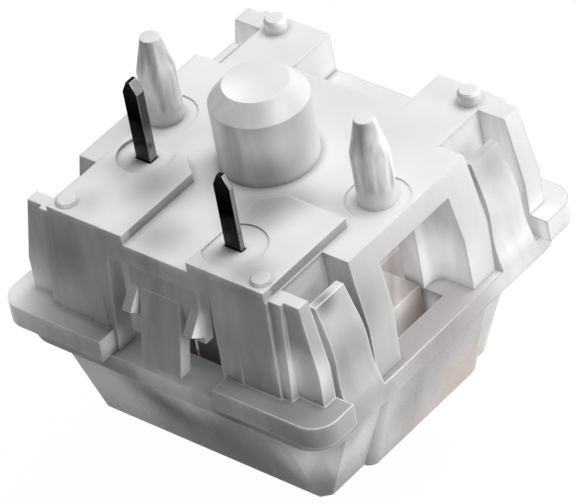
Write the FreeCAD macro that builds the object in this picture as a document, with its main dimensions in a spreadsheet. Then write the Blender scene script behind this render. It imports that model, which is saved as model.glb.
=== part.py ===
import FreeCAD, Part
import Sketcher
import os
import re

# Key switch for a keyboard, standing on the tip of its stem with the solder pins up.
# Millimetres. Z = 0 is the tip of the stem, X runs along the two fixing pins, and the
# contacts are on the side of -Y. Sizes called "drop" are measured down from the face of
# the circuit board, which lies at board_height.

os.makedirs("parts", exist_ok=True)
doc = FreeCAD.newDocument("key_switch")

SIZES = {
    # heights of the levels
    "board_height": 14.6,
    "pad_drop": 0.12,
    "deck_drop": 0.55,
    "seat_drop": 4.9,
    "flange_thick": 0.95,
    "rim_thick": 0.8,
    "crown_drop": 11.0,
    # lower casing, its deck and walls
    "wall": 0.9,
    "draft": 0.05,
    "deck_margin_y": 1.64,
    "deck_rear_y": 6.85,
    "rear_lean": 0.13,
    "tower_step": 0.55,
    "band_half_x": 6.42,
    "band_half_y": 3.45,
    "band_flare_y": 0.08,
    "body_margin_x": 1.9,
    "side_knee_drop": 3.45,
    "gusset_x": 3.28,
    "gusset_half": 0.3,
    "gusset_drop": 2.9,
    "gusset_thick": 0.06,
    "pad_inner_x": 1.54,
    "pad_inner_y": 1.88,
    "pad_clear_radius": 3.0,
    # corner posts, flange and nubs
    "post_half_x": 6.47,
    "post_inner_y": 5.84,
    "post_front_y": 6.56,
    "post_rear_y": 6.82,
    "post_step_x": 5.77,
    "post_step": 0.18,
    "post_flare": 0.3,
    "post_rear_flare": 0.14,
    "horn_flare": 0.12,
    "flange_half": 7.8,
    "flange_corner": 1.0,
    "flange_gap_half": 2.72,
    "nub_radius": 0.45,
    "nub_x": 4.64,
    "nub_y": 6.13,
    "nub_bevel": 0.1,
    # spigots on the board side
    "spigot_radius": 1.92,
    "spigot_rise": 2.95,
    "spigot_tip_radius": 1.3,
    "spigot_taper": 0.72,
    "fixing_radius": 0.75,
    "fixing_x": 5.08,
    "fixing_rise": 3.15,
    "fixing_tip_radius": 0.38,
    "fixing_taper": 1.5,
    "ring_radius": 1.25,
    "ring_depth": 0.06,
    # side windows, lamp notch and cavity
    "window_half_y": 2.05,
    "window_foot_half_y": 2.25,
    "window_drop": 1.5,
    "window_back_x": 5.3,
    "window_corner": 0.5,
    "rail_slot_half_y": 1.35,
    "notch_half_x": 2.63,
    "notch_y": 4.57,
    "notch_drop": 2.3,
    "lamp_half_x": 2.1,
    "lamp_y": 6.05,
    "cavity_rear_y": 3.7,
    "cavity_half_x": 4.4,
    # hub for the spring and the bore for the stem's shaft
    "hub_radius": 1.65,
    "hub_drop": 4.6,
    "shaft_radius": 1.05,
    "shaft_clearance": 0.07,
    "bore_rise": 2.15,
    # snap tongues that hold the mounting plate
    "tongue_half_x": 1.68,
    "tongue_thick": 0.42,
    "tongue_gap_half": 2.44,
    "tongue_gap_foot_half": 2.64,
    "tongue_drop": 1.4,
    "rear_tongue_step": 0.27,
    "tongue_root_inset": 0.32,
    "tongue_lean": 0.24,
    "hook_inner_x": 1.26,
    "hook_reach": 0.65,
    "hook_drop": 3.25,
    "hook_ramp": 0.82,
    "hook_under": 0.75,
    "tongue_pad_left_x": 1.14,
    "tongue_pad_right_x": 0.76,
    "tongue_pad_thick": 0.55,
    "tongue_pad_lean": 0.71,
    "tongue_foot_gap": 0.32,
    # upper casing
    "rim_margin_x": 0.33,
    "rim_margin_y": 0.64,
    "rim_corner": 1.3,
    "skirt_inset": 0.36,
    "skirt_front_y": 7.2,
    "skirt_rear_y": 6.9,
    "crown_left_x": 5.7,
    "crown_right_x": 5.28,
    "crown_front_y": 5.6,
    "crown_rear_y": 4.3,
    "skirt_cut": 1.8,
    "crown_cut": 0.3,
    "rear_skirt_cut": 2.9,
    "rear_crown_cut": 0.4,
    "cheek_front_y": 3.5,
    "cheek_rear_y": 3.2,
    "cheek_crown_x": 5.68,
    "cheek_round": 0.5,
    "crown_fillet": 0.4,
    "shell_wall": 0.85,
    "shelf_half_x": 4.6,
    "shelf_lip": 0.6,
    "shelf_front": 1.35,
    "rail_bay_x": 6.15,
    "rail_bay_half_y": 1.4,
    # latch legs of the upper casing
    "leg_drop": 1.3,
    "leg_top_inset": 0.63,
    "leg_shoulder_drop": 3.2,
    "leg_foot_bend_drop": 4.8,
    "leg_thick": 0.65,
    "leg_tip_thick": 0.35,
    "leg_foot_spread": 0.6,
    "leg_bow": 4.0,
    "leg_gap": 0.35,
    "leg_foot_gap": 0.04,
    "leg_outer_y": 5.42,
    "leg_foot_outer_y": 5.62,
    # stem
    "travel": 4.0,
    "cross_span": 4.05,
    "cross_arm_x": 1.15,
    "cross_arm_y": 1.29,
    "stem_half_x": 3.2,
    "stem_end_gap": 0.15,
    "stem_wall": 0.45,
    "stem_roof": 0.8,
    "stem_recess": 0.1,
    "stem_clearance": 0.08,
    "rail_x": 4.05,
    "rail_half_y": 0.9,
    "wing_x": 5.22,
    "wing_half_y": 1.27,
    "wing_height": 2.6,
    "shaft_end_drop": 2.6,
    "cam_inner_x": 1.02,
    "cam_outer_x": 1.7,
    "cam_front_y": 4.475,
    "cam_offset": 1.5,
    "cam_rise": 1.5,
    "cam_root": 1.0,
    "cam_slope": 0.075,
    # return spring
    "coil_radius": 1.95,
    "wire_radius": 0.12,
    "coil_turns": 11,
    "coil_seat_gap": 0.02,
    "coil_gap": 0.18,
    # fixed contact, from its solder pin to its contact bar
    "fixed_pin_x": 3.81,
    "fixed_pin_y": 2.54,
    "fixed_pin_width": 0.7,
    "fixed_sheet": 0.42,
    "fixed_plate_y": 4.05,
    "fixed_plate_sheet": 0.3,
    "fixed_arm_drop": 2.15,
    "fixed_arm_height": 0.75,
    "fixed_bar_half_x": 0.5,
    "fixed_bar_drop": 7.3,
    "fixed_pin_rise": 3.36,
    "sprung_pin_rise": 3.2,
    "pin_chamfer": 0.26,
    "pin_slot_gap": 0.04,
    # sprung contact, its carrier and its leaf
    "sprung_pin_x": 2.54,
    "sprung_pin_y": 5.08,
    "sprung_pin_width": 0.78,
    "sprung_sheet": 0.22,
    "carrier_half_x": 1.9,
    "carrier_drop": 3.3,
    "leaf_thick": 0.12,
    "leaf_half_x": 1.7,
    "leaf_drop": 2.1,
    "leaf_tail": 0.5,
    "leaf_gap": 0.05,
    "leaf_slot_half_x": 0.85,
    "leaf_slot_inner_x": 0.6,
    "leaf_slot_drop": 3.7,
    "leaf_slot_end_drop": 7.2,
    "bump_on_cam": 0.5,
    "bump_radius": 0.32,
    "point_drop": 6.75,
    "point_half": 0.35,
    "point_height": 0.16,
    # hollows around the contact pins
    "left_hollow_radius": 1.15,
    "left_hollow_depth": 0.16,
    "right_hollow_radius": 1.25,
    "right_hollow_depth": 0.06,
    "right_hollow_cut_x": 1.62,
}

# Sizes that follow from others: the deck ends a margin in front of the sprung contact's pin, the
# sides lie a margin outside the fixing pins, and the leaf's bumps lie on the stem's cams
DERIVED = {
    "deck_half_y": "=sprung_pin_y + deck_margin_y",
    "body_half": "=fixing_x + body_margin_x",
    "tower_half_x": "=post_step_x - tower_step",
    "rim_half_x": "=body_half + rim_margin_x",
    "rim_half_y": "=deck_half_y + rim_margin_y",
    "skirt_half_x": "=rim_half_x - skirt_inset",
    "leg_top_x": "=body_half - leg_top_inset",
    "stem_half_y": "=coil_radius + wire_radius + coil_gap + stem_wall",
    "bump_drop": "=deck_drop + wall + stem_end_gap + travel + cam_offset + bump_on_cam",
    "leaf_end_drop": "=bump_drop + leaf_tail",
}

dims = doc.addObject("Spreadsheet::Sheet", "dims")
for row, (alias, value) in enumerate({**SIZES, **DERIVED}.items(), start=1):
    dims.set(f"A{row}", alias)
    dims.set(f"B{row}", str(value))
    dims.setAlias(f"B{row}", alias)
    doc.recompute()

# Levels and places worked out from the sheet, written as formulas
BOARD = "board_height"
PADS = "(board_height - pad_drop)"
DECK = "(board_height - deck_drop)"
ROOF = "(board_height - deck_drop - wall)"
SEAT = "(board_height - seat_drop)"
JOINT = "(board_height - seat_drop - flange_thick)"
RIM_FOOT = "(board_height - seat_drop - flange_thick - rim_thick)"
CROWN = "(board_height - crown_drop)"
CROWN_ROOF = "(board_height - crown_drop + shell_wall)"
HUB_END = "(board_height - hub_drop)"
STEM_TOP = "(board_height - crown_drop + stem_recess)"
STEM_END = "(board_height - deck_drop - wall - stem_end_gap - travel)"
REAR_TONGUE = "(hook_drop - hook_ramp + rear_tongue_step)"
BELOW = "1"


def drop(size):
    """Height of a level that lies the named drop below the board."""
    return f"(board_height - {size})"


def formula(text):
    """Turns the names of sizes in a formula into references to the sheet."""
    return re.sub(r"\b[a-z]\w*\b(?!\()", lambda word: "dims." + word.group(0), str(text))


def bind(thing, **formulas):
    for name, text in formulas.items():
        thing.setExpression(name.replace("__", "."), formula(text))
    return thing


def place(thing, x="0", y="0", z="0"):
    for axis, text in (("x", x), ("y", y), ("z", z)):
        thing.setExpression(f"Placement.Base.{axis}", formula(text))
    return thing


def box(name, x, y, z):
    """Block between two formulas along each axis."""
    block = doc.addObject("Part::Box", name)
    bind(block, Length=f"({x[1]}) - ({x[0]})", Width=f"({y[1]}) - ({y[0]})", Height=f"({z[1]}) - ({z[0]})")
    return place(block, x[0], y[0], z[0])


def cylinder(name, radius, x, y, z):
    rod = doc.addObject("Part::Cylinder", name)
    bind(rod, Radius=radius, Height=f"({z[1]}) - ({z[0]})")
    return place(rod, x, y, z[0])


def cone(name, low_radius, high_radius, x, y, z):
    taper = doc.addObject("Part::Cone", name)
    bind(taper, Radius1=low_radius, Radius2=high_radius, Height=f"({z[1]}) - ({z[0]})")
    return place(taper, x, y, z[0])


UPRIGHT = FreeCAD.Rotation(FreeCAD.Vector(1, 0, 0), 90)


def frustum(name, z, low, high, turn=0):
    """Block whose rectangle changes from low to high, each given as (x0, x1, y0, y1)."""
    wedge = doc.addObject("Part::Wedge", name)
    bind(wedge, Xmin=low[0], Xmax=low[1], Zmin=f"-({low[3]})", Zmax=f"-({low[2]})")
    bind(wedge, X2min=high[0], X2max=high[1], Z2min=f"-({high[3]})", Z2max=f"-({high[2]})")
    bind(wedge, Ymin=z[0], Ymax=z[1])
    spin = FreeCAD.Rotation(FreeCAD.Vector(0, 0, 1), turn)
    wedge.Placement = FreeCAD.Placement(FreeCAD.Vector(0, 0, 0), spin.multiply(UPRIGHT))
    return wedge


def fuse(name, pieces):
    joined = doc.addObject("Part::MultiFuse", name)
    joined.Shapes = list(pieces)
    joined.Refine = True
    return joined


def common(name, pieces):
    shared = doc.addObject("Part::MultiCommon", name)
    shared.Shapes = list(pieces)
    return shared


def cut(name, base, tools):
    tool = tools[0] if len(tools) == 1 else fuse(name + "_tools", tools)
    result = doc.addObject("Part::Cut", name)
    result.Base = base
    result.Tool = tool
    result.Refine = True
    return result


PLANES = {"x": "YZ_Plane", "y": "XZ_Plane", "z": "XY_Plane"}


def profile(name, points, across, axis):
    """Padded sketch of a closed outline, between two formulas along the axis across it."""
    body = doc.addObject("PartDesign::Body", name)
    sketch = body.newObject("Sketcher::SketchObject", name + "_outline")
    plane = next(item for item in body.Origin.OriginFeatures if item.Role == PLANES[axis])
    sketch.AttachmentSupport = (plane, [""])
    sketch.MapMode = "FlatFace"
    start = f"-({across[1]})" if axis == "y" else across[0]
    sketch.setExpression("AttachmentOffset.Base.z", formula(start))
    corners = [FreeCAD.Vector(evaluate(point[0]), evaluate(point[1]), 0) for point in points]
    for number, corner in enumerate(corners):
        sketch.addGeometry(Part.LineSegment(corner, corners[(number + 1) % len(corners)]), False)
    for number in range(len(corners)):
        following = (number + 1) % len(corners)
        sketch.addConstraint(Sketcher.Constraint("Coincident", number, 2, following, 1))
    for number, corner in enumerate(corners):
        for kind, place_text, value in (("DistanceX", points[number][0], corner.x),
                                        ("DistanceY", points[number][1], corner.y)):
            index = sketch.addConstraint(Sketcher.Constraint(kind, -1, 1, number, 1, value))
            sketch.setExpression(f"Constraints[{index}]", formula(place_text))
    pad = body.newObject("PartDesign::Pad", name + "_pad")
    pad.Profile = sketch
    pad.setExpression("Length", formula(f"({across[1]}) - ({across[0]})"))
    body.Tip = pad
    return body


def evaluate(text):
    """Value of a formula at the sizes of the sheet."""
    return float(dims.evalExpression(formula(text)))


FINISHED = []


def finish(thing, label):
    thing.Label = label
    FINISHED.append(thing)
    return thing


SIGNS = (-1, 1)


def lower_casing():
    """Lower casing: deck, walls, flange, spigots, hub and snap tongues in one moulding."""
    wall_foot = "(deck_half_y + draft * (seat_drop + flange_thick - deck_drop))"
    tower_foot = "(tower_half_x + 0.02 * (seat_drop + flange_thick - deck_drop))"
    knee = drop("side_knee_drop")
    band_foot_y = "(band_half_y + band_flare_y)"
    band_foot = ("-body_half", "body_half", "-" + band_foot_y, band_foot_y)
    band = frustum("band", (knee, DECK), band_foot,
                   ("-band_half_x", "band_half_x", "-band_half_y", "band_half_y"))
    band_skirt = frustum("band_skirt", (JOINT, knee), band_foot, band_foot)
    trunk = frustum("trunk", (JOINT, DECK),
                    ("-" + tower_foot, tower_foot, "-" + wall_foot, "deck_rear_y + rear_lean"),
                    ("-tower_half_x", "tower_half_x", "-deck_half_y", "deck_rear_y"))
    solids = [band, band_skirt, trunk]
    for sx in SIGNS:
        for sy in SIGNS:
            solids += corner_post(sx, sy)
            solids.append(gusset(sx, sy))
    solids.append(flange())
    for sx in SIGNS:
        pad_x = (f"{'-tower_half_x + draft' if sx < 0 else 'pad_inner_x'}",
                 f"{'-pad_inner_x' if sx < 0 else 'tower_half_x - draft'}")
        pad = box(f"pad_{sx + 2}", pad_x, ("-deck_half_y", "-pad_inner_y"), (ROOF, PADS))
        clear = cylinder(f"pad_clear_{sx + 2}", "pad_clear_radius", "0", "0", (ROOF, BOARD))
        solids.append(cut(f"contact_pad_{sx + 2}", pad, [clear]))
        for sy in SIGNS:
            solids += nub(sx, sy)
    block = fuse("casing_block", solids)
    cavity = [
        box("cavity", ("-cavity_half_x", "cavity_half_x"), (f"wall - {wall_foot}", "cavity_rear_y"),
            (BELOW, ROOF)),
        side_window(-1),
        side_window(1),
        box("rail_slots", ("-(window_back_x + 0.2)", "window_back_x + 0.2"),
            ("-rail_slot_half_y", "rail_slot_half_y"), (BELOW, drop("window_drop"))),
        box("lamp_notch", ("-notch_half_x", "notch_half_x"), ("notch_y", "flange_half"),
            (drop("notch_drop"), BOARD)),
        frustum("lamp_slot", (JOINT + " - 1", drop("notch_drop") + " + 0.01"),
                ("-lamp_half_x", "lamp_half_x", "notch_y", "lamp_y - 0.5"),
                ("-notch_half_x", "notch_half_x", "notch_y", "lamp_y")),
        frustum("tongue_gap_front", (JOINT + " - 1", drop("tongue_drop")),
                ("-tongue_gap_foot_half", "tongue_gap_foot_half", "-flange_half", "-cavity_rear_y"),
                ("-tongue_gap_half", "tongue_gap_half", "-flange_half", "-cavity_rear_y")),
        frustum("tongue_gap_rear", (JOINT + " - 1", drop(REAR_TONGUE)),
                ("-tongue_gap_foot_half", "tongue_gap_foot_half", "lamp_y", "flange_half"),
                ("-tongue_gap_half", "tongue_gap_half", "lamp_y", "flange_half")),
    ]
    cavity += pin_hollows()
    shell = cut("casing_shell", block, cavity)
    spigots = [shell, hub()]
    spigots += [spigot()]
    for sx in SIGNS:
        spigots.append(fixing_pin(sx))
    spigots += tongue("front", -1, "tongue_drop")
    spigots += tongue("rear", 1, REAR_TONGUE)
    whole = fuse("casing_whole", spigots)
    bore = cylinder("shaft_bore", "shaft_radius + shaft_clearance", "0", "0",
                    (BELOW, BOARD + " + bore_rise"))
    finish(cut("bottom_housing", whole, [bore]), "bottom_housing")


def nub(sx, sy):
    """Round nub that stands on the circuit board, with a bevelled end."""
    x = f"{sx} * nub_x"
    y = f"{sy} * nub_y"
    tag = f"{sx + 2}{sy + 2}"
    shank = cylinder(f"nub_{tag}", "nub_radius", x, y, (ROOF, BOARD + " - nub_bevel"))
    end = cone(f"nub_end_{tag}", "nub_radius", "nub_radius - nub_bevel", x, y,
               (BOARD + " - nub_bevel", BOARD))
    return [shank, end]


def corner_post(sx, sy):
    """Post at one corner: a root on the wall, and a set-back horn that flares out to a knee."""
    tag = f"{sx + 2}{sy + 2}"
    root_face, flare = ("post_front_y", "post_flare") if sy < 0 else ("post_rear_y", "post_rear_flare")
    horn_face = f"{root_face} - post_step"
    root_x = span(sx, "tower_half_x - 0.4", "post_step_x")
    root = frustum(f"post_root_{tag}", (SEAT + " - 0.1", DECK),
                   (*root_x, *span(sy, "post_inner_y", f"{root_face} + {flare}")),
                   (*root_x, *span(sy, "post_inner_y", root_face)))
    foot = (*span(sx, "post_step_x", "body_half"), *span(sy, "post_inner_y", f"{horn_face} + horn_flare"))
    top = (*span(sx, "post_step_x", "post_half_x"), *span(sy, "post_inner_y", horn_face))
    horn = frustum(f"horn_{tag}", (drop("side_knee_drop"), DECK), foot, top)
    horn_foot = frustum(f"horn_foot_{tag}", (SEAT + " - 0.1", drop("side_knee_drop")), foot, foot)
    return [root, horn, horn_foot]


def gusset(sx, sy):
    """Thin rib between the wall and the flange, beside the gap of a snap tongue."""
    x = span(sx, "gusset_x - gusset_half", "gusset_x + gusset_half")
    if sy < 0:
        face = "deck_half_y"
        foot = "deck_half_y + draft * (seat_drop - deck_drop) + gusset_thick"
        top = "deck_half_y + draft * (gusset_drop - deck_drop)"
    else:
        face = "deck_rear_y"
        foot = "deck_rear_y + rear_lean + gusset_thick / 2"
        top = "deck_rear_y + rear_lean / 2"
    return frustum(f"gusset_{sx + 2}{sy + 2}", (SEAT + " - 0.1", drop("gusset_drop")),
                   (*x, *span(sy, f"{face} - wall / 2", foot)), (*x, *span(sy, f"{face} - wall / 2", top)))


def span(side, low, high):
    """Two formulas in rising order on the given side of the middle."""
    return (low, high) if side > 0 else (f"-({high})", f"-({low})")


def side_window(sx):
    """Recess in the side wall, with its two inner corners rounded."""
    reach = span(sx, "window_back_x", "window_back_x + 2.5")
    low = (*reach, "-window_foot_half_y", "window_foot_half_y")
    high = (*reach, "-window_half_y", "window_half_y")
    block = frustum(f"window_{sx + 2}", (JOINT + " - 1", drop("window_drop")), low, high)
    doc.recompute()
    back = evaluate("window_back_x")
    edges = [number for number in upright_edges(block.Shape)
             if abs(abs(block.Shape.Edges[number - 1].CenterOfMass.x) - back) < 0.001]
    return rounded(f"window_rounded_{sx + 2}", block, edges, "window_corner")


def rounded(name, base, edges, alias):
    """Fillet of the given edges with one size of the sheet."""
    fillet = doc.addObject("Part::Fillet", name)
    fillet.Base = base
    radius = evaluate(alias)
    fillet.Edges = [(number, radius, radius) for number in edges]
    return fillet


def flange():
    """Flange that rests on the mounting plate, in four corners."""
    reach = ("-flange_half", "flange_half")
    plate = box("flange_plate", reach, reach, (JOINT, SEAT))
    doc.recompute()
    outline = rounded("flange_rounded", plate, upright_edges(plate.Shape), "flange_corner")
    corners = []
    for sx in SIGNS:
        for sy in SIGNS:
            corners.append(box(f"flange_corner_{sx + 2}{sy + 2}", span(sx, "flange_gap_half", "flange_half"),
                               span(sy, "post_inner_y", "flange_half"), (JOINT, SEAT)))
    return common("flange", [outline, fuse("flange_corners", corners)])


def upright_edges(shape):
    """Numbers of the edges that rise steeply."""
    return [number for number, edge in enumerate(shape.Edges, start=1)
            if abs(edge.tangentAt(edge.FirstParameter).z) > 0.8]


def pin_hollows():
    """Slots for the contact pins and the shallow rings around the pins."""
    left = "-fixed_pin_x"
    right = "sprung_pin_x"
    ring = cylinder("right_ring", "right_hollow_radius", right, "-sprung_pin_y",
                    (PADS + " - right_hollow_depth", BOARD))
    keep = box("right_ring_keep", ("right_hollow_cut_x", "flange_half"), ("-deck_half_y + 0.25", "0"),
               (ROOF, BOARD))
    tools = [
        cylinder("left_ring", "left_hollow_radius", left, "-fixed_pin_y",
                 (PADS + " - left_hollow_depth", BOARD)),
        common("right_ring_part", [ring, keep]),
        pin_slot("left_slot", left, "-fixed_pin_y", "fixed_pin_width", "fixed_sheet"),
        pin_slot("right_slot", right, "-sprung_pin_y", "sprung_pin_width", "sprung_sheet"),
    ]
    for sx in SIGNS:
        outer = cylinder(f"fixing_ring_{sx + 2}", "ring_radius", f"{sx} * fixing_x", "0",
                         (DECK + " - ring_depth", BOARD))
        tools.append(outer)
    return tools


def pin_slot(name, x, y, width, thick):
    half_x = f"({width} / 2 + pin_slot_gap)"
    half_y = f"({thick} / 2 + pin_slot_gap)"
    return box(name, (f"{x} - {half_x}", f"{x} + {half_x}"), (f"{y} - {half_y}", f"{y} + {half_y}"),
               (ROOF + " - 1", BOARD))


def hub():
    """Round hub inside the casing that the spring sits around."""
    return cylinder("hub", "hub_radius", "0", "0", (HUB_END, DECK))


def spigot():
    """Thick locating spigot at the middle of the board side."""
    shank = cylinder("spigot_shank", "spigot_radius", "0", "0",
                     (ROOF, BOARD + " + spigot_rise - spigot_taper"))
    tip = cone("spigot_tip", "spigot_radius", "spigot_tip_radius", "0", "0",
               (BOARD + " + spigot_rise - spigot_taper", BOARD + " + spigot_rise"))
    return fuse("spigot", [shank, tip])


def fixing_pin(sx):
    x = f"{sx} * fixing_x"
    shank = cylinder(f"fixing_shank_{sx + 2}", "fixing_radius", x, "0",
                     (ROOF, BOARD + " + fixing_rise - fixing_taper"))
    tip = cone(f"fixing_tip_{sx + 2}", "fixing_radius", "fixing_tip_radius", x, "0",
               (BOARD + " + fixing_rise - fixing_taper", BOARD + " + fixing_rise"))
    return fuse(f"fixing_pin_{sx + 2}", [shank, tip])


def tongue(name, side, top_drop):
    """Sprung tongue with two hooks under which the mounting plate snaps."""
    edge = "deck_half_y" if side < 0 else "deck_rear_y"
    root = f"{side} * ({edge} - tongue_root_inset)"
    knee = f"{side} * ({edge} - tongue_root_inset + tongue_lean)"
    knee_drop = "hook_drop - hook_ramp"
    back = f"{side} * ({edge} - tongue_root_inset - tongue_thick)"
    back_knee = f"{side} * ({edge} - tongue_root_inset + tongue_lean - tongue_thick)"
    tip = f"{side} * ({edge} - tongue_root_inset + tongue_lean + hook_reach)"
    top = drop(top_drop) + " + 0.3"
    under = drop("(hook_drop + hook_under)")
    leaf = [(root, top), (knee, drop(f"({knee_drop})")), (knee, under), (back_knee, under), (back, top)]
    hook = [(knee, drop(f"({knee_drop})")), (tip, drop("hook_drop")), (back_knee, under),
            (back_knee, drop(f"({knee_drop})"))]
    pieces = [profile(f"tongue_leaf_{name}", leaf, ("-tongue_half_x", "tongue_half_x"), "x")]
    for sx in SIGNS:
        pieces.append(profile(f"hook_{name}_{sx + 2}", hook, span(sx, "hook_inner_x", "tongue_half_x"), "x"))
    outer = f"{edge} - tongue_root_inset + tongue_lean + 0.02"
    foot_outer = f"{outer} + tongue_pad_lean"
    pieces.append(frustum(f"tongue_pad_{name}", (JOINT + " + tongue_foot_gap", drop(f"({knee_drop})")),
                          ("-tongue_pad_left_x", "tongue_pad_right_x",
                           *span(side, f"{foot_outer} - tongue_pad_thick", foot_outer)),
                          ("-tongue_pad_left_x", "tongue_pad_right_x",
                           *span(side, f"{outer} - tongue_pad_thick", outer))))
    return pieces


def upper_casing():
    """Upper casing: rim, tapered hood, cheeks and four latch legs in one moulding."""
    plate = box("rim_plate", ("-rim_half_x", "rim_half_x"), ("-rim_half_y", "rim_half_y"), (RIM_FOOT, JOINT))
    doc.recompute()
    rim = rounded("rim_rounded", plate, upright_edges(plate.Shape), "rim_corner")
    block = frustum("hood_block", (CROWN, RIM_FOOT),
                    ("-crown_left_x", "crown_right_x", "-crown_front_y", "crown_rear_y"),
                    ("-skirt_half_x", "skirt_half_x", "-skirt_front_y", "skirt_rear_y"))
    front = diagonal("skirt_half_x", "skirt_front_y", "skirt_cut")
    rear = diagonal("skirt_half_x", "skirt_rear_y", "rear_skirt_cut")
    ends = ("crown_left_x", "crown_right_x")
    crown_front = [diagonal(end, "crown_front_y", "crown_cut") for end in ends]
    crown_rear = [diagonal(end, "crown_rear_y", "rear_crown_cut") for end in ends]
    corners = frustum("hood_corners", (CROWN, RIM_FOOT),
                      (f"-{crown_rear[0]}", crown_front[1], f"-{crown_front[0]}", crown_rear[1]),
                      (f"-{rear}", front, f"-{front}", rear), turn=-45)
    hood = common("hood", [block, corners])
    cheek_block = frustum("cheek_block", (CROWN, JOINT),
                          ("-cheek_crown_x", "cheek_crown_x", "-cheek_front_y", "cheek_rear_y"),
                          ("-rim_half_x", "rim_half_x", "-cheek_front_y", "cheek_rear_y"))
    doc.recompute()
    cheeks = rounded("cheeks", cheek_block, upright_edges(cheek_block.Shape), "cheek_round")
    outside = fuse("hood_outside", [rim, hood, cheeks])
    doc.recompute()
    crown_level = evaluate(CROWN)
    crown_edges = [number for number, edge in enumerate(outside.Shape.Edges, start=1)
                   if all(abs(corner.Z - crown_level) < 0.001 for corner in edge.Vertexes)]
    softened = rounded("hood_softened", outside, crown_edges, "crown_fillet")
    hollow = [
        frustum("hood_hollow", (CROWN_ROOF, JOINT + " + 1"),
                ("-stem_half_x - 0.5", "stem_half_x + 0.5",
                 "shell_wall - crown_front_y", "crown_rear_y - shell_wall"),
                ("-shelf_half_x", "shelf_half_x", "shelf_front - rim_half_y", "notch_y - shelf_lip")),
        frustum("rail_bay", (CROWN_ROOF, JOINT),
                ("shell_wall - cheek_crown_x", "cheek_crown_x - shell_wall",
                 "-rail_bay_half_y", "rail_bay_half_y"),
                ("-rail_bay_x", "rail_bay_x", "-rail_bay_half_y", "rail_bay_half_y")),
        box("stem_opening", ("-(stem_half_x + stem_clearance)", "stem_half_x + stem_clearance"),
            ("-(stem_half_y + stem_clearance)", "stem_half_y + stem_clearance"), (BELOW, JOINT)),
    ]
    shell = cut("hood_shell", softened, hollow)
    legs = [shell]
    for sx in SIGNS:
        for sy in SIGNS:
            legs.append(latch_leg(sx, sy))
    finish(fuse("top_housing", legs), "top_housing")


def diagonal(x, y, corner_cut):
    """Distance from the middle to the flat across a corner."""
    return f"(({x} + {y} - {corner_cut}) / sqrt(2))"


def latch_leg(sx, sy):
    """Bowed leg that latches the upper casing to the lower one."""
    outline = [
        (f"{sx} * rim_half_x", JOINT),
        (f"{sx} * body_half", drop("leg_foot_bend_drop")),
        (f"{sx} * body_half", drop("leg_shoulder_drop")),
        (f"{sx} * leg_top_x", drop("leg_drop")),
        (f"{sx} * (leg_top_x - leg_tip_thick)", drop("leg_drop")),
        (f"{sx} * (body_half - leg_thick)", drop("leg_shoulder_drop")),
        (f"{sx} * (body_half - leg_thick)", drop("leg_foot_bend_drop")),
        (f"{sx} * (rim_half_x - leg_thick - leg_foot_spread)", JOINT),
    ]
    tag = f"{sx + 2}{sy + 2}"
    strip = profile(f"leg_strip_{tag}", outline, span(sy, "3", "6.5"), "y")
    doc.recompute()
    faces = [evaluate("body_half"), evaluate("body_half - leg_thick")]
    knees = [number for number, edge in enumerate(strip.Shape.Edges, start=1)
             if abs(edge.tangentAt(edge.FirstParameter).y) > 0.99
             and any(abs(abs(edge.CenterOfMass.x) - face) < 0.001 for face in faces)]
    bow = rounded(f"leg_bow_{tag}", strip, knees, "leg_bow")
    reach = ("-flange_half", "flange_half")
    sides = frustum(f"leg_sides_{tag}", (JOINT, drop("leg_drop") + " + 0.1"),
                    (*reach, *span(sy, "band_half_y + band_flare_y + leg_foot_gap", "leg_foot_outer_y")),
                    (*reach, *span(sy, "band_half_y + leg_gap", "leg_outer_y")))
    return common(f"leg_{tag}", [bow, sides])


def stem():
    """Stem: key cross, hollow block, rails and wings, guide shaft and two cams."""
    arm = ("-(cross_span / 2)", "cross_span / 2")
    tip = ("0", STEM_TOP + " + 0.2")
    pieces = [
        box("cross_x", arm, ("-cross_arm_x / 2", "cross_arm_x / 2"), tip),
        box("cross_y", ("-cross_arm_y / 2", "cross_arm_y / 2"), arm, tip),
        box("stem_block", ("-stem_half_x", "stem_half_x"), ("-stem_half_y", "stem_half_y"),
            (STEM_TOP, STEM_END)),
        box("rails", ("-rail_x", "rail_x"), ("-rail_half_y", "rail_half_y"),
            (CROWN_ROOF + " + stem_clearance", STEM_END)),
        box("wings", ("-wing_x", "wing_x"), ("-wing_half_y", "wing_half_y"),
            (f"{STEM_END} - wing_height", STEM_END)),
    ]
    cam_top = f"({STEM_END} - cam_offset)"
    cam_outline = [
        ("-stem_half_y + 0.2", cam_top),
        ("-cam_front_y", cam_top),
        ("-cam_front_y + cam_slope * cam_rise", f"{cam_top} - cam_rise"),
        ("-stem_half_y + 0.2", f"{cam_top} - cam_rise - cam_root"),
    ]
    for sx in SIGNS:
        pieces.append(profile(f"cam_{sx + 2}", cam_outline, span(sx, "cam_inner_x", "cam_outer_x"), "x"))
    solid = fuse("stem_solid", pieces)
    inner_x = "(stem_half_x - stem_wall)"
    inner_y = "(stem_half_y - stem_wall)"
    hollow = box("stem_hollow", (f"-{inner_x}", inner_x), (f"-{inner_y}", inner_y),
                 (STEM_TOP + " + stem_roof", STEM_END + " + 1"))
    shell = cut("stem_shell", solid, [hollow])
    shaft = cylinder("stem_shaft", "shaft_radius", "0", "0", (STEM_TOP + " + 0.3", drop("shaft_end_drop")))
    finish(fuse("stem", [shell, shaft]), "stem")


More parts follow.
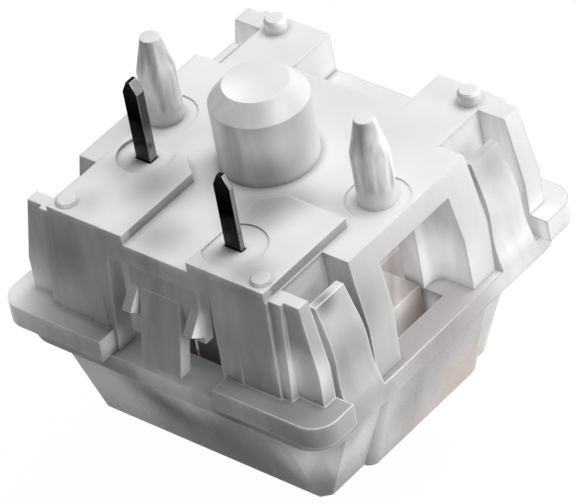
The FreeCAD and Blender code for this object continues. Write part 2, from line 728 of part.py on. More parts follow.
def return_spring():
    """Coil spring between the stem and the floor of the lower casing."""
    low = STEM_TOP + " + stem_roof + wire_radius + coil_seat_gap"
    high = ROOF + " - wire_radius - coil_seat_gap"
    path = doc.addObject("Part::Helix", "coil_path")
    bind(path, Radius="coil_radius", Height=f"({high}) - ({low})",
         Pitch=f"(({high}) - ({low})) / coil_turns")
    place(path, z=low)
    doc.recompute()
    wire = doc.addObject("Part::Circle", "coil_wire")
    bind(wire, Radius="wire_radius")
    place(wire, "coil_radius", "0", low)
    wire.Placement = FreeCAD.Placement(wire.Placement.Base, UPRIGHT)
    coil = doc.addObject("Part::Sweep", "coil")
    coil.Sections = [wire]
    coil.Spine = (path, [])
    coil.Solid = True
    coil.Frenet = True
    finish(coil, "return_spring")


def pin_blank(name, x, y, width, thick, foot, rise):
    """Solder pin of one sheet, with its tip chamfered on both edges."""
    half = f"({width} / 2)"
    tip = f"{BOARD} + {rise}"
    outline = [
        (f"{x} - {half}", foot),
        (f"{x} + {half}", foot),
        (f"{x} + {half}", f"{tip} - pin_chamfer * 2"),
        (f"{x} + {half} - pin_chamfer", tip),
        (f"{x} - {half} + pin_chamfer", tip),
        (f"{x} - {half}", f"{tip} - pin_chamfer * 2"),
    ]
    return profile(name, outline, (f"{y} - {thick} / 2", f"{y} + {thick} / 2"), "y")


def fixed_contact():
    """Fixed contact: pin, cranked shelf, upright arm and the bar that carries the contact point."""
    x = "-fixed_pin_x"
    half = "(fixed_pin_width / 2)"
    sheet = "(fixed_plate_sheet / 2)"
    pin = pin_blank("fixed_pin", x, "-fixed_pin_y", "fixed_pin_width", "fixed_sheet",
                    drop("fixed_arm_drop"), "fixed_pin_rise")
    shelf = box("fixed_shelf", (f"{x} - {half}", f"{x} + {half}"),
                (f"-fixed_plate_y - {sheet}", "-fixed_pin_y + fixed_sheet / 2"),
                (drop("fixed_arm_drop"), drop("fixed_arm_drop") + " + fixed_plate_sheet"))
    arm = box("fixed_arm", (f"{x} - {half}", "fixed_bar_half_x"),
              (f"-fixed_plate_y - {sheet}", f"-fixed_plate_y + {sheet}"),
              (drop("fixed_arm_drop") + " - fixed_arm_height",
               drop("fixed_arm_drop") + " + fixed_plate_sheet"))
    bar = box("fixed_bar", ("-fixed_bar_half_x", "fixed_bar_half_x"),
              (f"-fixed_plate_y - {sheet}", f"-fixed_plate_y + {sheet}"),
              (drop("fixed_bar_drop"), drop("fixed_arm_drop")))
    finish(fuse("fixed_contact", [pin, shelf, arm, bar]), "fixed_contact")
    face = f"-fixed_plate_y - {sheet}"
    point = box("fixed_point", ("-point_half", "point_half"), (f"{face} - point_height", face),
                (drop("point_drop") + " - point_half / 3", drop("point_drop") + " + point_half / 3"))
    finish(point, "fixed_contact_point")


def sprung_contact():
    """Carrier with its solder pin, the leaf that it holds, and the leaf's contact point."""
    y = "-sprung_pin_y"
    sheet = "(sprung_sheet / 2)"
    pin = pin_blank("sprung_pin", "sprung_pin_x", y, "sprung_pin_width", "sprung_sheet",
                    drop("carrier_drop"), "sprung_pin_rise")
    carrier = box("carrier", ("-carrier_half_x", "sprung_pin_x"), (f"{y} - {sheet}", f"{y} + {sheet}"),
                  (drop("carrier_drop"), ROOF + " - 0.1"))
    finish(fuse("sprung_contact", [pin, carrier]), "sprung_contact_carrier")
    back = f"({y} + {sheet} + leaf_gap)"
    front = f"({y} + {sheet} + leaf_gap + leaf_thick)"
    blade = box("leaf_blade", ("-leaf_half_x", "leaf_half_x"), (back, front),
                (drop("leaf_end_drop"), drop("leaf_drop")))
    slots = []
    for sx in SIGNS:
        edges = ("leaf_slot_inner_x", "leaf_slot_half_x")
        x = edges if sx > 0 else ("-leaf_slot_half_x", "-leaf_slot_inner_x")
        slots.append(box(f"leaf_slot_{sx + 2}", x, (f"{back} - 1", f"{front} + 1"),
                         (drop("leaf_slot_end_drop"), drop("leaf_slot_drop"))))
    pressed = cut("leaf_pressed", blade, slots)
    bumps = [pressed]
    for sx in SIGNS:
        bumps.append(leaf_bump(sx, back, front))
    finish(fuse("contact_leaf", bumps), "contact_leaf")
    point = box("leaf_point", ("-point_half / 3", "point_half / 3"), (front, f"{front} + point_height"),
                (drop("point_drop") + " - point_half", drop("point_drop") + " + point_half"))
    finish(point, "leaf_contact_point")


def leaf_bump(sx, back, front):
    """Rounded bump of the leaf that rides on a cam of the stem."""
    bump = doc.addObject("Part::Cylinder", f"bump_{sx + 2}")
    bind(bump, Radius="bump_radius", Height="cam_outer_x - cam_inner_x")
    low = span(sx, "cam_inner_x", "cam_outer_x")[0]
    place(bump, low, front, drop("bump_drop"))
    bump.Placement = FreeCAD.Placement(bump.Placement.Base, FreeCAD.Rotation(FreeCAD.Vector(0, 1, 0), 90))
    keep = box(f"bump_keep_{sx + 2}", ("-flange_half", "flange_half"),
               (f"{back} + leaf_thick / 2", "0"), (BELOW, BOARD))
    return common(f"bump_part_{sx + 2}", [bump, keep])


def write_parts():
    """Checks every object and writes each finished piece to its file."""
    doc.recompute()
    faults = [thing.Name for thing in doc.Objects if "Invalid" in thing.State or "Error" in thing.State]
    if faults:
        raise RuntimeError("objects that failed: " + ", ".join(faults))
    for thing in FINISHED:
        shape = thing.Shape
        if shape.isNull() or not shape.isValid() or len(shape.Solids) != 1:
            raise RuntimeError(f"{thing.Label} is not one valid solid")
    for thing in FINISHED:
        thing.Shape.exportStep(f"parts/{thing.Label}.step")
        print(f"{thing.Label}: {thing.Shape.Volume:.2f} mm3")


lower_casing()
upper_casing()
stem()
return_spring()
fixed_contact()
sprung_contact()
write_parts()
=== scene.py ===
import math

import bpy
from mathutils import Matrix, Vector

# Key switch standing on the tip of its stem, with the board side up. Everything is in metres, apart from
# the places, radii and widths that are said to be in millimetres.

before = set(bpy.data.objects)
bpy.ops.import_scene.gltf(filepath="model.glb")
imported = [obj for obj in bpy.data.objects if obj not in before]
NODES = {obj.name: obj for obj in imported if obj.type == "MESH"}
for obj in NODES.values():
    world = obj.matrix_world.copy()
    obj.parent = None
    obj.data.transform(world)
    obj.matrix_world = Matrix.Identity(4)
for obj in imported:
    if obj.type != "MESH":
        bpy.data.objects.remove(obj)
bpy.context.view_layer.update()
MM = 0.001
BOARD = 14.6 * MM  # height of the face that lies on the circuit board
WHITE = (1.0, 1.0, 1.0)


def grey(value):
    return (value, value, value)


# ---------------------------------------------------------------- camera

def make_camera():
    """Camera at the photograph's angle, solved from the grid of pins.

    The angles are in radians, the distance and the shifts in millimetres, the focal length in pixels."""
    azimuth, elevation, roll = 0.797683, 0.676653, -0.189790
    distance, shift_x, shift_y, focal = 208.2863, -0.740816, 3.976942, 5668.106
    picture_width = 576
    sensor_width = 36
    back = Vector((math.sin(azimuth) * math.cos(elevation), -math.cos(azimuth) * math.cos(elevation),
                   math.sin(elevation)))
    right = Vector((math.cos(azimuth), math.sin(azimuth), 0))
    up = back.cross(right)
    c, s = math.cos(roll), math.sin(roll)
    across = c * right + s * up
    above = c * up - s * right
    eye = (across * -shift_x + above * -shift_y + back * distance) * MM + Vector((0, 0, BOARD))
    data = bpy.data.cameras.new("camera")
    data.sensor_width = sensor_width
    data.lens = focal / picture_width * sensor_width
    data.clip_start = 0.005
    data.clip_end = 20
    camera = bpy.data.objects.new("camera", data)
    bpy.context.scene.collection.objects.link(camera)
    turn = Matrix((across, above, back)).transposed().to_4x4()
    camera.matrix_world = Matrix.Translation(eye) @ turn
    bpy.context.scene.camera = camera


make_camera()


# ---------------------------------------------------------------- node helpers

def background_rays(tree):
    """Socket that is 1 for the rays that see the floor and the world as a plain white background."""
    path = tree.nodes.new("ShaderNodeLightPath")
    seen = path.outputs["Is Transmission Ray"]
    for kind in ("Is Glossy Ray", "Is Camera Ray"):
        either = tree.nodes.new("ShaderNodeMath")
        either.operation = "MAXIMUM"
        tree.links.new(path.outputs[kind], either.inputs[0])
        tree.links.new(seen, either.inputs[1])
        seen = either.outputs[0]
    return seen


class Nodes:
    """Small helper that builds a material's node tree."""

    def __init__(self, name):
        self.material = bpy.data.materials.new(name)
        self.material.use_nodes = True
        self.tree = self.material.node_tree
        self.tree.nodes.clear()
        self.output = self.add("ShaderNodeOutputMaterial")
        self.position = self.add("ShaderNodeTexCoord").outputs["Object"]

    def add(self, kind, **values):
        node = self.tree.nodes.new(kind)
        for name, value in values.items():
            setattr(node, name, value)
        return node

    def link(self, source, target):
        """Links a socket, or sets a constant."""
        if isinstance(source, bpy.types.NodeSocket):
            self.tree.links.new(source, target)
        else:
            target.default_value = source

    def math(self, operation, a, b=0.0):
        node = self.add("ShaderNodeMath", operation=operation)
        self.link(a, node.inputs[0])
        self.link(b, node.inputs[1])
        return node.outputs[0]

    def plus(self, a, b):
        return self.math("ADD", a, b)

    def minus(self, a, b):
        return self.math("SUBTRACT", a, b)

    def times(self, first, *others):
        total = first
        for other in others:
            total = self.math("MULTIPLY", total, other)
        return total

    def absolute(self, value):
        return self.math("ABSOLUTE", value)

    def parts(self, vector):
        """X, Y and Z of a vector."""
        split = self.add("ShaderNodeSeparateXYZ")
        self.link(vector, split.inputs[0])
        return split.outputs

    def facing(self):
        """How far the face looks towards +X, +Y and +Z."""
        return self.parts(self.add("ShaderNodeNewGeometry").outputs["True Normal"])

    def span(self, value, low, high, first=0.0, last=1.0):
        """Value carried from one range over to another, held at its ends."""
        spread = self.add("ShaderNodeMapRange")
        self.link(value, spread.inputs[0])
        for number, part in enumerate((low, high, first, last), start=1):
            spread.inputs[number].default_value = part
        return spread.outputs[0]

    def along(self, place, low, high, first=0.0, last=1.0):
        """span for a coordinate, with low and high in millimetres."""
        return self.span(place, low * MM, high * MM, first, last)

    def above_board(self, height, low, high, first=0.0, last=1.0):
        """span for a height, with low and high in millimetres above the board face."""
        return self.span(height, BOARD + low * MM, BOARD + high * MM, first, last)

    def noise(self, scale, detail, roughness, stretch=(1, 1, 1), distortion=0.0, seed=0.0, place=None):
        """Noise whose scale is in bumps per millimetre."""
        mapping = self.add("ShaderNodeMapping")
        self.link(place or self.position, mapping.inputs["Vector"])
        mapping.inputs["Scale"].default_value = [1000 * scale * part for part in stretch]
        mapping.inputs["Location"].default_value = (seed, seed * 0.7, seed * 1.3)
        texture = self.add("ShaderNodeTexNoise")
        self.link(mapping.outputs[0], texture.inputs["Vector"])
        texture.inputs["Scale"].default_value = 1.0
        texture.inputs["Detail"].default_value = detail
        texture.inputs["Roughness"].default_value = roughness
        texture.inputs["Distortion"].default_value = distortion
        return texture.outputs["Fac"]

    def ramp(self, factor, *stops):
        """Colour ramp over a factor from 0 to 1; each stop is (place, colour)."""
        ramp = self.add("ShaderNodeValToRGB")
        self.link(factor, ramp.inputs[0])
        while len(ramp.color_ramp.elements) < len(stops):
            ramp.color_ramp.elements.new(0.5)
        for element, (place, colour) in zip(ramp.color_ramp.elements, stops):
            element.position = place
            element.color = (*colour, 1.0)
        return ramp.outputs[0]

    def mix(self, factor, a, b, blend="MIX"):
        """Colour between two others, each a socket or a constant."""
        node = self.add("ShaderNodeMix", data_type="RGBA", blend_type=blend)
        self.link(factor, node.inputs[0])
        for colour, target in ((a, node.inputs[6]), (b, node.inputs[7])):
            self.link(colour if isinstance(colour, bpy.types.NodeSocket) else (*colour, 1.0), target)
        return node.outputs[2]

    def scaled(self, colour, factor):
        node = self.add("ShaderNodeVectorMath", operation="SCALE")
        self.link(colour, node.inputs[0])
        self.link(factor, node.inputs["Scale"])
        return node.outputs[0]

    def bump(self, height, distance, strength):
        """Normal of a rough surface; the distance is in millimetres."""
        node = self.add("ShaderNodeBump")
        node.inputs["Strength"].default_value = strength
        node.inputs["Distance"].default_value = distance * MM
        self.link(height, node.inputs["Height"])
        return node.outputs[0]

    def edge(self, radius, low=0.02, high=0.5):
        """Mask that is 1 on sharp edges and 0 on flat faces; the radius is in millimetres."""
        soft = self.add("ShaderNodeBevel", samples=6)
        soft.inputs["Radius"].default_value = radius * MM
        plain = self.add("ShaderNodeNewGeometry").outputs["Normal"]
        dot = self.add("ShaderNodeVectorMath", operation="DOT_PRODUCT")
        self.link(soft.outputs[0], dot.inputs[0])
        self.link(plain, dot.inputs[1])
        return self.span(self.minus(1.0, dot.outputs["Value"]), low, high)

    def spot(self, x, y, z, radius, inside, outside):
        """Soft ball at a place in millimetres from the middle of the board face."""
        gap = self.add("ShaderNodeVectorMath", operation="DISTANCE")
        self.link(self.position, gap.inputs[0])
        gap.inputs[1].default_value = (x * MM, y * MM, BOARD + z * MM)
        spread = self.add("ShaderNodeMapRange", interpolation_type="SMOOTHSTEP")
        self.link(gap.outputs["Value"], spread.inputs[0])
        for number, value in enumerate((0.0, radius * MM, inside, outside), start=1):
            spread.inputs[number].default_value = value
        return spread.outputs[0]

    def shade(self, painted_spots):
        """Product of the painted light and shade factors of all listed balls, each of them 1 outside its
        ball.
        """
        return self.times(*[self.spot(*ball, factor, 1.0) for *ball, factor in painted_spots])

    def principled(self, **values):
        """Shader whose inputs are given by name, with an underscore for each space."""
        shader = self.add("ShaderNodeBsdfPrincipled")
        for name, value in values.items():
            self.link(value, shader.inputs[name.replace("_", " ")])
        return shader

    def mix_shaders(self, factor, first, second):
        node = self.add("ShaderNodeMixShader")
        self.link(factor, node.inputs[0])
        self.link(first.outputs[0], node.inputs[1])
        self.link(second.outputs[0], node.inputs[2])
        return node

    def let_light_through(self, shader, share, colour, glow):
        """Lets part of the lamps' light pass and shine out on the far side, as a thin milky wall does."""
        lit = self.add("ShaderNodeBsdfTranslucent")
        self.link(colour, lit.inputs["Color"])
        body = self.mix_shaders(glow, shader, lit)
        shadow = self.add("ShaderNodeLightPath").outputs["Is Shadow Ray"]
        return self.mix_shaders(self.times(shadow, share), body, self.add("ShaderNodeBsdfTransparent"))

    def finished(self, shader):
        self.link(shader.outputs[0], self.output.inputs["Surface"])
        return self.material


# ---------------------------------------------------------------- materials

def flow_tone(m, light, dark, upright, rear, side_streaks, seed):
    """Cloudy tone with flow streaks down the upright walls, strongest on those that look to the front."""
    cloud = m.noise(0.28, 2.0, 0.5, seed=seed)
    flow = m.noise(0.95, 3.0, 0.55, stretch=(1.0, 1.0, 0.16), distortion=0.6, seed=seed + 3)
    reach = m.span(rear, -0.9, -0.3, 2.0, side_streaks)
    streaks = m.times(m.minus(flow, 0.5), m.times(upright, reach))
    mottling = m.plus(m.plus(m.times(cloud, 0.6), 0.2), streaks)
    return m.ramp(m.span(mottling, 0.25, 0.75), (0.0, dark), (1.0, light))


def painted_light_and_shade(m, x, y, z, right, up, upright, seed):
    """Factor of painted light and shade for the colour, by the same rules for both casings."""
    # More painted light towards the rear, above all on faces towards +X.
    painted_rear_light = m.plus(1.0, m.times(m.along(y, -7.0, 7.0, -1.0, 1.0), m.span(right, 0.3, 0.8, 0.015, 0.31)))
    # Painted shade: ledges deep below the board face are darker in front.
    sunken = m.times(m.above_board(z, -4.5, -2.2, 0.5, 0.0), m.along(y, -2.0, 5.0, 1.0, 0.0))
    ledge_shade = m.minus(1.0, m.times(sunken, m.span(up, 0.3, 0.8)))
    # Painted shade: upright faces on the board side are darker in the middle, most in front, but not at the
    # front rim.
    raised = m.times(m.above_board(z, -0.8, -0.6), m.times(upright, m.along(y, -6.4, -6.2)))
    sideways = m.absolute(x)
    depth = m.times(m.along(sideways, 5.2, 5.8, 1.0, 0.0), m.along(y, -1.95, -1.85, 0.4, 0.14))
    step_shade = m.minus(1.0, m.times(raised, depth))
    # Painted highlight and shade in streaks down the fixing pins, as light bends through glassy plastic.
    pin = m.times(m.times(upright, m.above_board(z, 0.0, 0.3)), m.along(sideways, 3.2, 3.6))
    painted_pin_streaks = m.minus(m.noise(2.4, 2.0, 0.5, stretch=(1.0, 1.0, 0.14), seed=seed + 9), 0.5)
    painted_pin_light = m.plus(1.0, m.times(m.times(painted_pin_streaks, 2.0), pin))
    return m.times(m.times(painted_rear_light, ledge_shade), m.times(step_shade, painted_pin_light))


def with_crease_shade(m, x, tone):
    """Painted shade: darkens a tone where faces meet inwards, less so on the right side."""
    hollow = m.add("ShaderNodeAmbientOcclusion", samples=6)
    hollow.inputs["Distance"].default_value = 0.35 * MM
    crease_shade = m.ramp(m.span(hollow.outputs["AO"], 0.35, 0.95), (0.0, grey(0.45)), (1.0, WHITE))
    return m.mix(m.along(x, 4.5, 5.8, 1.0, 0.45), tone, crease_shade, "MULTIPLY")


def with_painted_edge_lines(m, x, y, z, tone):
    """Painted lines on the edges: highlights in front, dark outlines at the rear, grey and fainter on the
    board face.
    """
    # Painted highlight colour on the front edges, painted dark outline colour at the rear.
    rim = m.ramp(m.along(y, -3.0, 3.0), (0.0, grey(0.97)), (1.0, grey(0.32)))
    board_face = m.above_board(z, -1.2, -0.9)
    rim = m.mix(board_face, rim, grey(0.55))
    front_left = m.times(m.along(x, 3.0, 5.5, 0.6, 0.0), m.along(y, -3.0, 3.0, 1.0, 0.0))
    strength = m.times(m.span(board_face, 0.0, 1.0, 0.75, 0.4), m.minus(1.0, front_left))
    return m.mix(m.times(m.edge(0.1, low=0.008, high=0.07), strength), tone, rim)


def milky_plastic(name, light, dark, rough, shine, seed, painted_spots, tints_and_painted_light=(), painted_glints=(), side_streaks=0.4):
    """Moulded translucent plastic: cloudy, with flow streaks down its front walls, painted shade in its
    creases, lighter towards the rear from light let through and from painted light, painted lines on its
    edges, and a reflection that weakens where the painted shade is darker.

    Places are in millimetres from the middle of the board face. Each spot is (x, y, z, radius, factor) of
    painted light and shade; each glint is the same, a painted highlight only on faces towards +X; each tint
    has a colour and a strength in place of the factor, and some of them are painted light and shade."""
    m = Nodes(name)
    x, y, z = m.parts(m.position)
    right, rear, up = m.facing()
    upright = m.span(m.absolute(up), 0.5, 0.9, 1.0, 0.0)

    tone = flow_tone(m, light, dark, upright, rear, side_streaks, seed)
    # Painted light and shade, multiplied into the colour.
    shade = m.times(painted_light_and_shade(m, x, y, z, right, up, upright, seed), m.shade(painted_spots))
    # Painted glints on faces towards +X.
    if painted_glints:
        glint_light = m.times(m.minus(m.shade(painted_glints), 1.0), m.span(right, 0.4, 0.8))
        shade = m.times(shade, m.plus(glint_light, 1.0))
    tone = m.scaled(tone, shade)
    # Tints, some of them painted light and shade.
    for *ball, colour, strength in tints_and_painted_light:
        tone = m.mix(m.spot(*ball, strength, 0.0), tone, colour)
    # Painted crease shade and painted edge lines.
    colour = with_painted_edge_lines(m, x, y, z, with_crease_shade(m, x, tone))

    grain = m.noise(14.0, 2.0, 0.6, seed=seed + 5)
    shader = m.principled(Base_Color=colour, Roughness=m.plus(m.times(grain, 0.12), rough - 0.06), IOR=1.46,
                          Normal=m.bump(grain, distance=0.004, strength=0.35),
                          Specular_IOR_Level=m.span(shade, 0.3, 0.9, 0.0, shine), Subsurface_Weight=0.4,
                          Subsurface_Radius=(1.0, 0.97, 0.94), Subsurface_Scale=0.5 * MM)
    glow = m.times(m.along(y, -4.0, 4.0, 0.0, 0.7), m.span(rear, -0.8, -0.3, 1.0, 0.0))
    return m.finished(m.let_light_through(shader, 0.7, colour, glow))


def stem_plastic():
    """Pinkish plastic whose streaks carry on from the wings' tops down their outer faces, with painted shade
    towards the wing's far corner deep behind the window, on its foot and tops, and painted edge highlights."""
    m = Nodes("stem_plastic_look")
    x, y, z = m.parts(m.position)
    across = m.plus(m.times(x, 0.78), m.times(y, 0.62))
    drawn = m.add("ShaderNodeCombineXYZ")
    m.link(across, drawn.inputs[0])
    m.link(m.times(z, 0.1), drawn.inputs[1])
    cloud = m.noise(0.5, 3.0, 0.5, seed=4)
    streaks = m.noise(2.0, 2.0, 0.5, seed=6, place=drawn.outputs[0])
    mottling = m.plus(m.times(cloud, 0.3), m.times(streaks, 0.7))
    tone = m.ramp(m.span(mottling, 0.41, 0.59), (0.0, (0.64, 0.60, 0.59)), (1.0, (0.95, 0.935, 0.93)))
    # Painted shade towards the wing's far corner, deep behind the window.
    deep_shade = m.ramp(m.along(across, 3.8, 4.8), (0.0, WHITE), (0.6, (0.60, 0.57, 0.563)),
                  (1.0, (0.30, 0.265, 0.255)))
    tone = m.mix(1.0, tone, deep_shade, "MULTIPLY")
    # Painted shadow on the wing's lower part.
    shadow = m.spot(5.2, 0.2, -7.4, 1.9, 1.0, 0.0)
    tone = m.mix(shadow, tone, (0.55, 0.54, 0.54), "MULTIPLY")
    # Painted shade on the faces that look up.
    top_shade = m.span(m.facing()[2], 0.3, 0.9)
    tone = m.mix(top_shade, tone, (0.85, 0.845, 0.84), "MULTIPLY")
    # Painted highlight on the edges.
    colour = m.mix(m.times(m.edge(0.08), 0.12), tone, (0.8, 0.76, 0.75))
    grain = m.noise(12.0, 2.0, 0.6, seed=8)
    return m.finished(m.principled(Base_Color=colour, Roughness=m.plus(m.times(grain, 0.15), 0.35), IOR=1.48,
                                   Normal=m.bump(grain, distance=0.004, strength=0.4),
                                   Specular_IOR_Level=0.2, Subsurface_Weight=0.4,
                                   Subsurface_Radius=(1.0, 0.8, 0.7), Subsurface_Scale=0.4 * MM))


def metal(name, light, dark, rough, seed):
    """Bare metal: cloudy, with fine lines across Z and painted highlights on its edges."""
    m = Nodes(name)
    rolled = m.noise(9.0, 3.0, 0.6, stretch=(1, 1, 6), seed=seed)
    cloud = m.noise(1.1, 2.0, 0.5, seed=seed + 2)
    tone = m.ramp(m.span(cloud, 0.35, 0.65), (0.0, dark), (1.0, light))
    # Painted highlight on the edges.
    edge_highlight = tuple(min(1.0, 1.8 * part + 0.1) for part in light)
    colour = m.mix(m.times(m.edge(0.04), 0.55), tone, edge_highlight)
    return m.finished(m.principled(Base_Color=colour, Metallic=1.0,
                                   Roughness=m.plus(m.times(rolled, 0.16), rough - 0.08),
                                   Normal=m.bump(rolled, distance=0.003, strength=0.3)))


def pin_metal(name, seed):
    """Dark tinned sheet with a painted reflection, darker towards the tip of the pin; its sides are lighter,
    partly as bare sheared metal and partly as painted reflection; painted highlights on its edges.
    """
    m = Nodes(name)
    rolled = m.noise(7.0, 3.0, 0.6, stretch=(8, 8, 1), seed=seed)
    cloud = m.noise(0.9, 2.0, 0.5, seed=seed + 2)
    height = m.plus(m.parts(m.position)[2], m.times(m.minus(cloud, 0.5), 1.2 * MM))
    # Painted reflection: lighter near the board face, near black towards the tip.
    tone = m.ramp(m.above_board(height, -0.2, 3.4), (0.0, grey(0.12)), (0.22, grey(0.035)),
                  (0.5, (0.009, 0.009, 0.01)), (1.0, grey(0.02)))
    # Lighter side faces: partly bare sheared metal, partly painted reflection.
    side = m.math("GREATER_THAN", m.absolute(m.facing()[0]), 0.6)
    sheared_and_reflecting_sides = m.mix(m.times(side, 0.75), tone, (0.33, 0.33, 0.335))
    # Painted highlight on the edges.
    colour = m.mix(m.times(m.edge(0.05), 0.6), sheared_and_reflecting_sides, (0.6, 0.6, 0.61))
    return m.finished(m.principled(Base_Color=colour, Metallic=1.0, Specular_Tint=(0.25, 0.25, 0.25, 1.0),
                                   Roughness=m.plus(m.times(rolled, 0.14), 0.12),
                                   Normal=m.bump(rolled, distance=0.003, strength=0.25)))


# Tones listed one by one, most of them painted light and shade: all in the first three tables and some in
# the fourth; milky_plastic says what the fields of each row are.
CASING_PAINTED_LIGHT = [
    # front wall with its corner and the flange below it
    (-4.6, -7.0, -2.0, 2.0, 0.72), (-2.4, -6.9, -4.0, 1.8, 0.82), (0.2, -7.0, -3.4, 3.0, 0.9),
    (3.4, -7.0, -3.2, 1.6, 0.85), (6.2, -6.7, -3.6, 1.6, 2.6), (6.6, -7.8, -6.0, 2.4, 0.62),
    (-7.8, -7.6, -5.0, 3.4, 3.0), (-4.4, -7.2, -4.4, 1.6, 1.4),
    # right side
    (5.6, 2.1, -4.6, 2.2, 1.6), (6.6, -3.6, -2.4, 2.0, 0.78), (7.4, 5.8, -5.4, 1.4, 1.2),
    # locating post and board face
    (1.6, -0.7, 2.6, 0.8, 1.2), (-0.6, -1.6, 1.9, 2.4, 1.6), (-1.0, 2.0, -0.6, 6.0, 0.95),
    (1.9, -2.6, -0.4, 2.3, 0.36), (2.9, -1.5, -0.5, 1.5, 0.74), (-2.4, -3.8, -0.2, 2.2, 0.5),
    (2.2, -3.9, -0.1, 1.6, 0.75), (1.5, -1.2, 1.3, 1.5, 1.45), (-3.9, -5.8, -0.1, 1.2, 0.82),
    (-0.7, -5.7, -0.5, 1.9, 0.62), (3.9, -6.1, -0.1, 1.5, 0.62), (4.2, -1.0, -0.6, 1.3, 0.85),
    (-2.5, -0.9, -0.5, 1.2, 1.2),
    # fixing pins
    (5.2, -0.5, 1.4, 1.7, 1.45), (-5.0, -0.7, 1.4, 1.9, 1.45),
]
# Painted glints on faces towards +X.
CASING_PAINTED_GLINTS = [
    # steps of the front wall
    (-1.3, -7.3, -2.6, 1.4, 5.0), (1.6, -7.3, -3.0, 1.2, 5.0), (1.7, -7.2, -4.8, 1.8, 4.0),
    (-2.7, -7.3, -5.2, 0.9, 2.5),
]
# Painted light and shade on the cover.
COVER_PAINTED_LIGHT = [
    # front of the hood and the rim
    (1.5, -6.0, -9.5, 8.0, 0.42), (-4.2, -6.6, -8.6, 3.0, 2.2), (5.5, -6.3, -8.5, 2.0, 2.5),
    (0.0, -7.3, -5.8, 3.0, 4.0), (-1.3, -6.9, -7.5, 2.6, 0.52),
    # right side of the hood
    (7.0, -3.6, -9.0, 3.0, 2.1), (6.5, -2.2, -8.8, 2.1, 0.64), (6.6, 5.5, -9.6, 3.0, 1.6),
    (6.9, 4.4, -7.4, 2.6, 1.4),
    # latch legs
    (6.6, -4.9, -3.4, 1.6, 0.8), (6.3, -4.9, -1.3, 0.9, 0.4), (6.4, 4.7, -1.7, 2.2, 0.58),
]
COVER_TINTS_AND_PAINTED_LIGHT = [
    # right side of the hood: a painted light patch, then warm colour patches
    (6.5, -3.9, -8.7, 1.5, (0.93, 0.92, 0.915), 0.8),
    (6.6, 1.6, -10.4, 2.4, (0.90, 0.66, 0.55), 0.7), (6.6, -0.8, -10.6, 1.6, (0.84, 0.64, 0.56), 0.5),
    (7.0, 4.2, -8.4, 2.0, (0.92, 0.80, 0.73), 0.3),
    # below the window: painted shade, and a painted light patch on the notch wall
    (7.1, 0.0, -5.9, 3.6, (0.40, 0.355, 0.36), 0.75), (5.7, 1.4, -6.6, 0.8, WHITE, 1.0),
]
POINT_METAL = {"light": (0.83, 0.66, 0.35), "dark": (0.7, 0.54, 0.28), "rough": 0.2}
LOOKS = {
    "bottom_housing": milky_plastic("casing_look", light=grey(0.76), dark=grey(0.60), rough=0.3, shine=0.35,
                                    seed=1, painted_spots=CASING_PAINTED_LIGHT, painted_glints=CASING_PAINTED_GLINTS),
    "top_housing": milky_plastic("cover_look", light=grey(0.78), dark=grey(0.60), rough=0.28, shine=0.1,
                                 seed=21, painted_spots=COVER_PAINTED_LIGHT, tints_and_painted_light=COVER_TINTS_AND_PAINTED_LIGHT, side_streaks=0.9),
    "stem": stem_plastic(),
    "return_spring": metal("spring_look", light=(0.64, 0.62, 0.6), dark=(0.5, 0.49, 0.47), rough=0.42,
                           seed=31),
    "fixed_contact": pin_metal("contact_look", seed=41),
    "sprung_contact_carrier": pin_metal("carrier_look", seed=45),
    "contact_leaf": metal("leaf_look", light=(0.62, 0.60, 0.57), dark=(0.5, 0.48, 0.46), rough=0.35,
                          seed=51),
    "fixed_contact_point": metal("point_look", **POINT_METAL, seed=61),
    "leaf_contact_point": metal("leaf_point_look", **POINT_METAL, seed=65),
}


# ---------------------------------------------------------------- rounded edges

WELD_DISTANCE = 0.000012  # closes a sliver beside the lamp notch, of which the bevel makes a stray face
FLAT_BEND = math.radians(0.3)
SMOOTH_BEND = math.radians(20)
SHARP_BEND = math.radians(28)
EDGE_WIDTHS = {"bottom_housing": 0.00006, "top_housing": 0.00006, "stem": 0.0001,
               "fixed_contact": 0.00003, "sprung_contact_carrier": 0.00003}


def soft_shading():
    """Node group that shades a mesh smoothly across its slight bends."""
    group = bpy.data.node_groups.new("soft_shading", "GeometryNodeTree")
    for way in ("INPUT", "OUTPUT"):
        group.interface.new_socket("Geometry", in_out=way, socket_type="NodeSocketGeometry")
    nodes, links = group.nodes, group.links
    plain_normals = nodes.new("GeometryNodeRemoveAttribute")
    plain_normals.inputs["Name"].default_value = "custom_normal"
    faces = nodes.new("GeometryNodeSetShadeSmooth")
    edges = nodes.new("GeometryNodeSetShadeSmooth")
    edges.domain = "EDGE"
    bend = nodes.new("GeometryNodeInputMeshEdgeAngle")
    small = nodes.new("ShaderNodeMath")
    small.operation = "LESS_THAN"
    small.inputs[1].default_value = SMOOTH_BEND
    links.new(bend.outputs["Unsigned Angle"], small.inputs[0])
    links.new(small.outputs[0], edges.inputs["Shade Smooth"])
    chain = (nodes.new("NodeGroupInput"), plain_normals, faces, edges, nodes.new("NodeGroupOutput"))
    for before, after in zip(chain, chain[1:]):
        links.new(before.outputs[0], after.inputs[0])
    return group


SOFT = soft_shading()


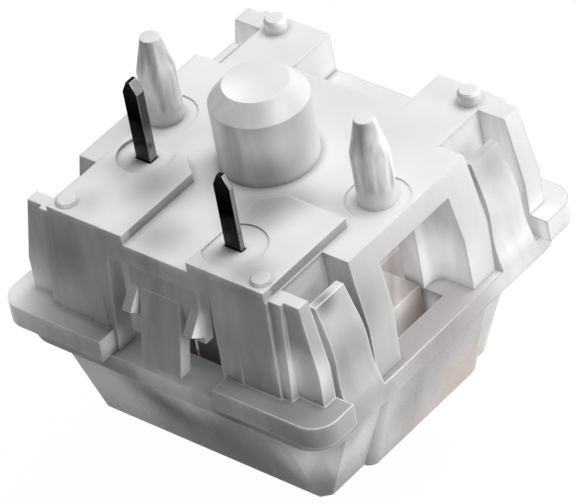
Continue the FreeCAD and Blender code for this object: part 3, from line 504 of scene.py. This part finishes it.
def dress(name, material):
    """Gives a CAD node its material and, if it has an edge width, slightly rounded edges."""
    thing = NODES[name]
    thing.data.materials.clear()
    thing.data.materials.append(material)
    if name not in EDGE_WIDTHS:
        return
    weld = thing.modifiers.new("weld", "WELD")
    weld.merge_threshold = WELD_DISTANCE
    flat = thing.modifiers.new("flat", "DECIMATE")
    flat.decimate_type = "DISSOLVE"
    flat.angle_limit = FLAT_BEND
    soft = thing.modifiers.new("soft", "NODES")
    soft.node_group = SOFT
    bevel = thing.modifiers.new("bevel", "BEVEL")
    bevel.width = EDGE_WIDTHS[name]
    bevel.segments = 2
    bevel.limit_method = "ANGLE"
    bevel.angle_limit = SHARP_BEND
    bevel.harden_normals = True
    even = thing.modifiers.new("even", "WEIGHTED_NORMAL")
    even.keep_sharp = True


for node_name, look in LOOKS.items():
    dress(node_name, look)


# ---------------------------------------------------------------- floor and light

FLOOR_RADIUS = 0.6
FLOOR_HEIGHT = -0.00002  # just clear of the stem's tip
LAMP_SIZE = 0.16
AIM = Vector((0, 0, 0.009))  # about the middle of the switch


def floor_look(colour, shown):
    """Matte floor colour that shows as its own even tone behind the object."""
    m = Nodes("floor_look")
    speck = m.noise(0.08, 2.0, 0.5)
    darker = tuple(0.985 * part for part in colour)
    tone = m.ramp(m.span(speck, 0.3, 0.7), (0.0, darker), (1.0, colour))
    diffuse = m.add("ShaderNodeBsdfDiffuse")
    m.link(tone, diffuse.inputs["Color"])
    glow = m.add("ShaderNodeEmission")
    glow.inputs["Color"].default_value = (1, 1, 1, 1)
    glow.inputs["Strength"].default_value = shown
    return m.finished(m.mix_shaders(m.times(background_rays(m.tree), 0.9), diffuse, glow))


def make_floor():
    bpy.ops.mesh.primitive_circle_add(vertices=96, radius=FLOOR_RADIUS, fill_type="NGON",
                                      location=(0, 0, FLOOR_HEIGHT))
    floor = bpy.context.object
    floor.name = "floor"
    floor.data.materials.append(floor_look(grey(0.2), shown=1.09))


make_floor()


def make_world(lighting, shown):
    """White world, with one strength for lighting the object and one for showing behind it."""
    world = bpy.data.worlds.new("world")
    bpy.context.scene.world = world
    world.use_nodes = True
    tree = world.node_tree
    tree.nodes.clear()
    mix = tree.nodes.new("ShaderNodeMixShader")
    tree.links.new(background_rays(tree), mix.inputs[0])
    for number, strength in enumerate((lighting, shown), start=1):
        white = tree.nodes.new("ShaderNodeBackground")
        white.inputs["Color"].default_value = (1, 1, 1, 1)
        white.inputs["Strength"].default_value = strength
        tree.links.new(white.outputs[0], mix.inputs[number])
    output = tree.nodes.new("ShaderNodeOutputWorld")
    tree.links.new(mix.outputs[0], output.inputs["Surface"])


make_world(lighting=0.16, shown=1.0)


def make_light(name, place, power, colour=WHITE):
    """Soft square lamp that looks at the switch."""
    data = bpy.data.lights.new(name, "AREA")
    data.size = LAMP_SIZE
    data.energy = power
    data.color = colour
    lamp = bpy.data.objects.new(name, data)
    bpy.context.scene.collection.objects.link(lamp)
    lamp.location = place
    lamp.rotation_euler = (AIM - Vector(place)).to_track_quat("-Z", "Y").to_euler()


make_light("key", (0.04, 0.11, 0.25), power=0.76)
make_light("side", (0.28, 0.05, 0.08), power=0.51, colour=(1.0, 0.985, 0.97))

scene = bpy.context.scene
scene.view_settings.view_transform = "Standard"
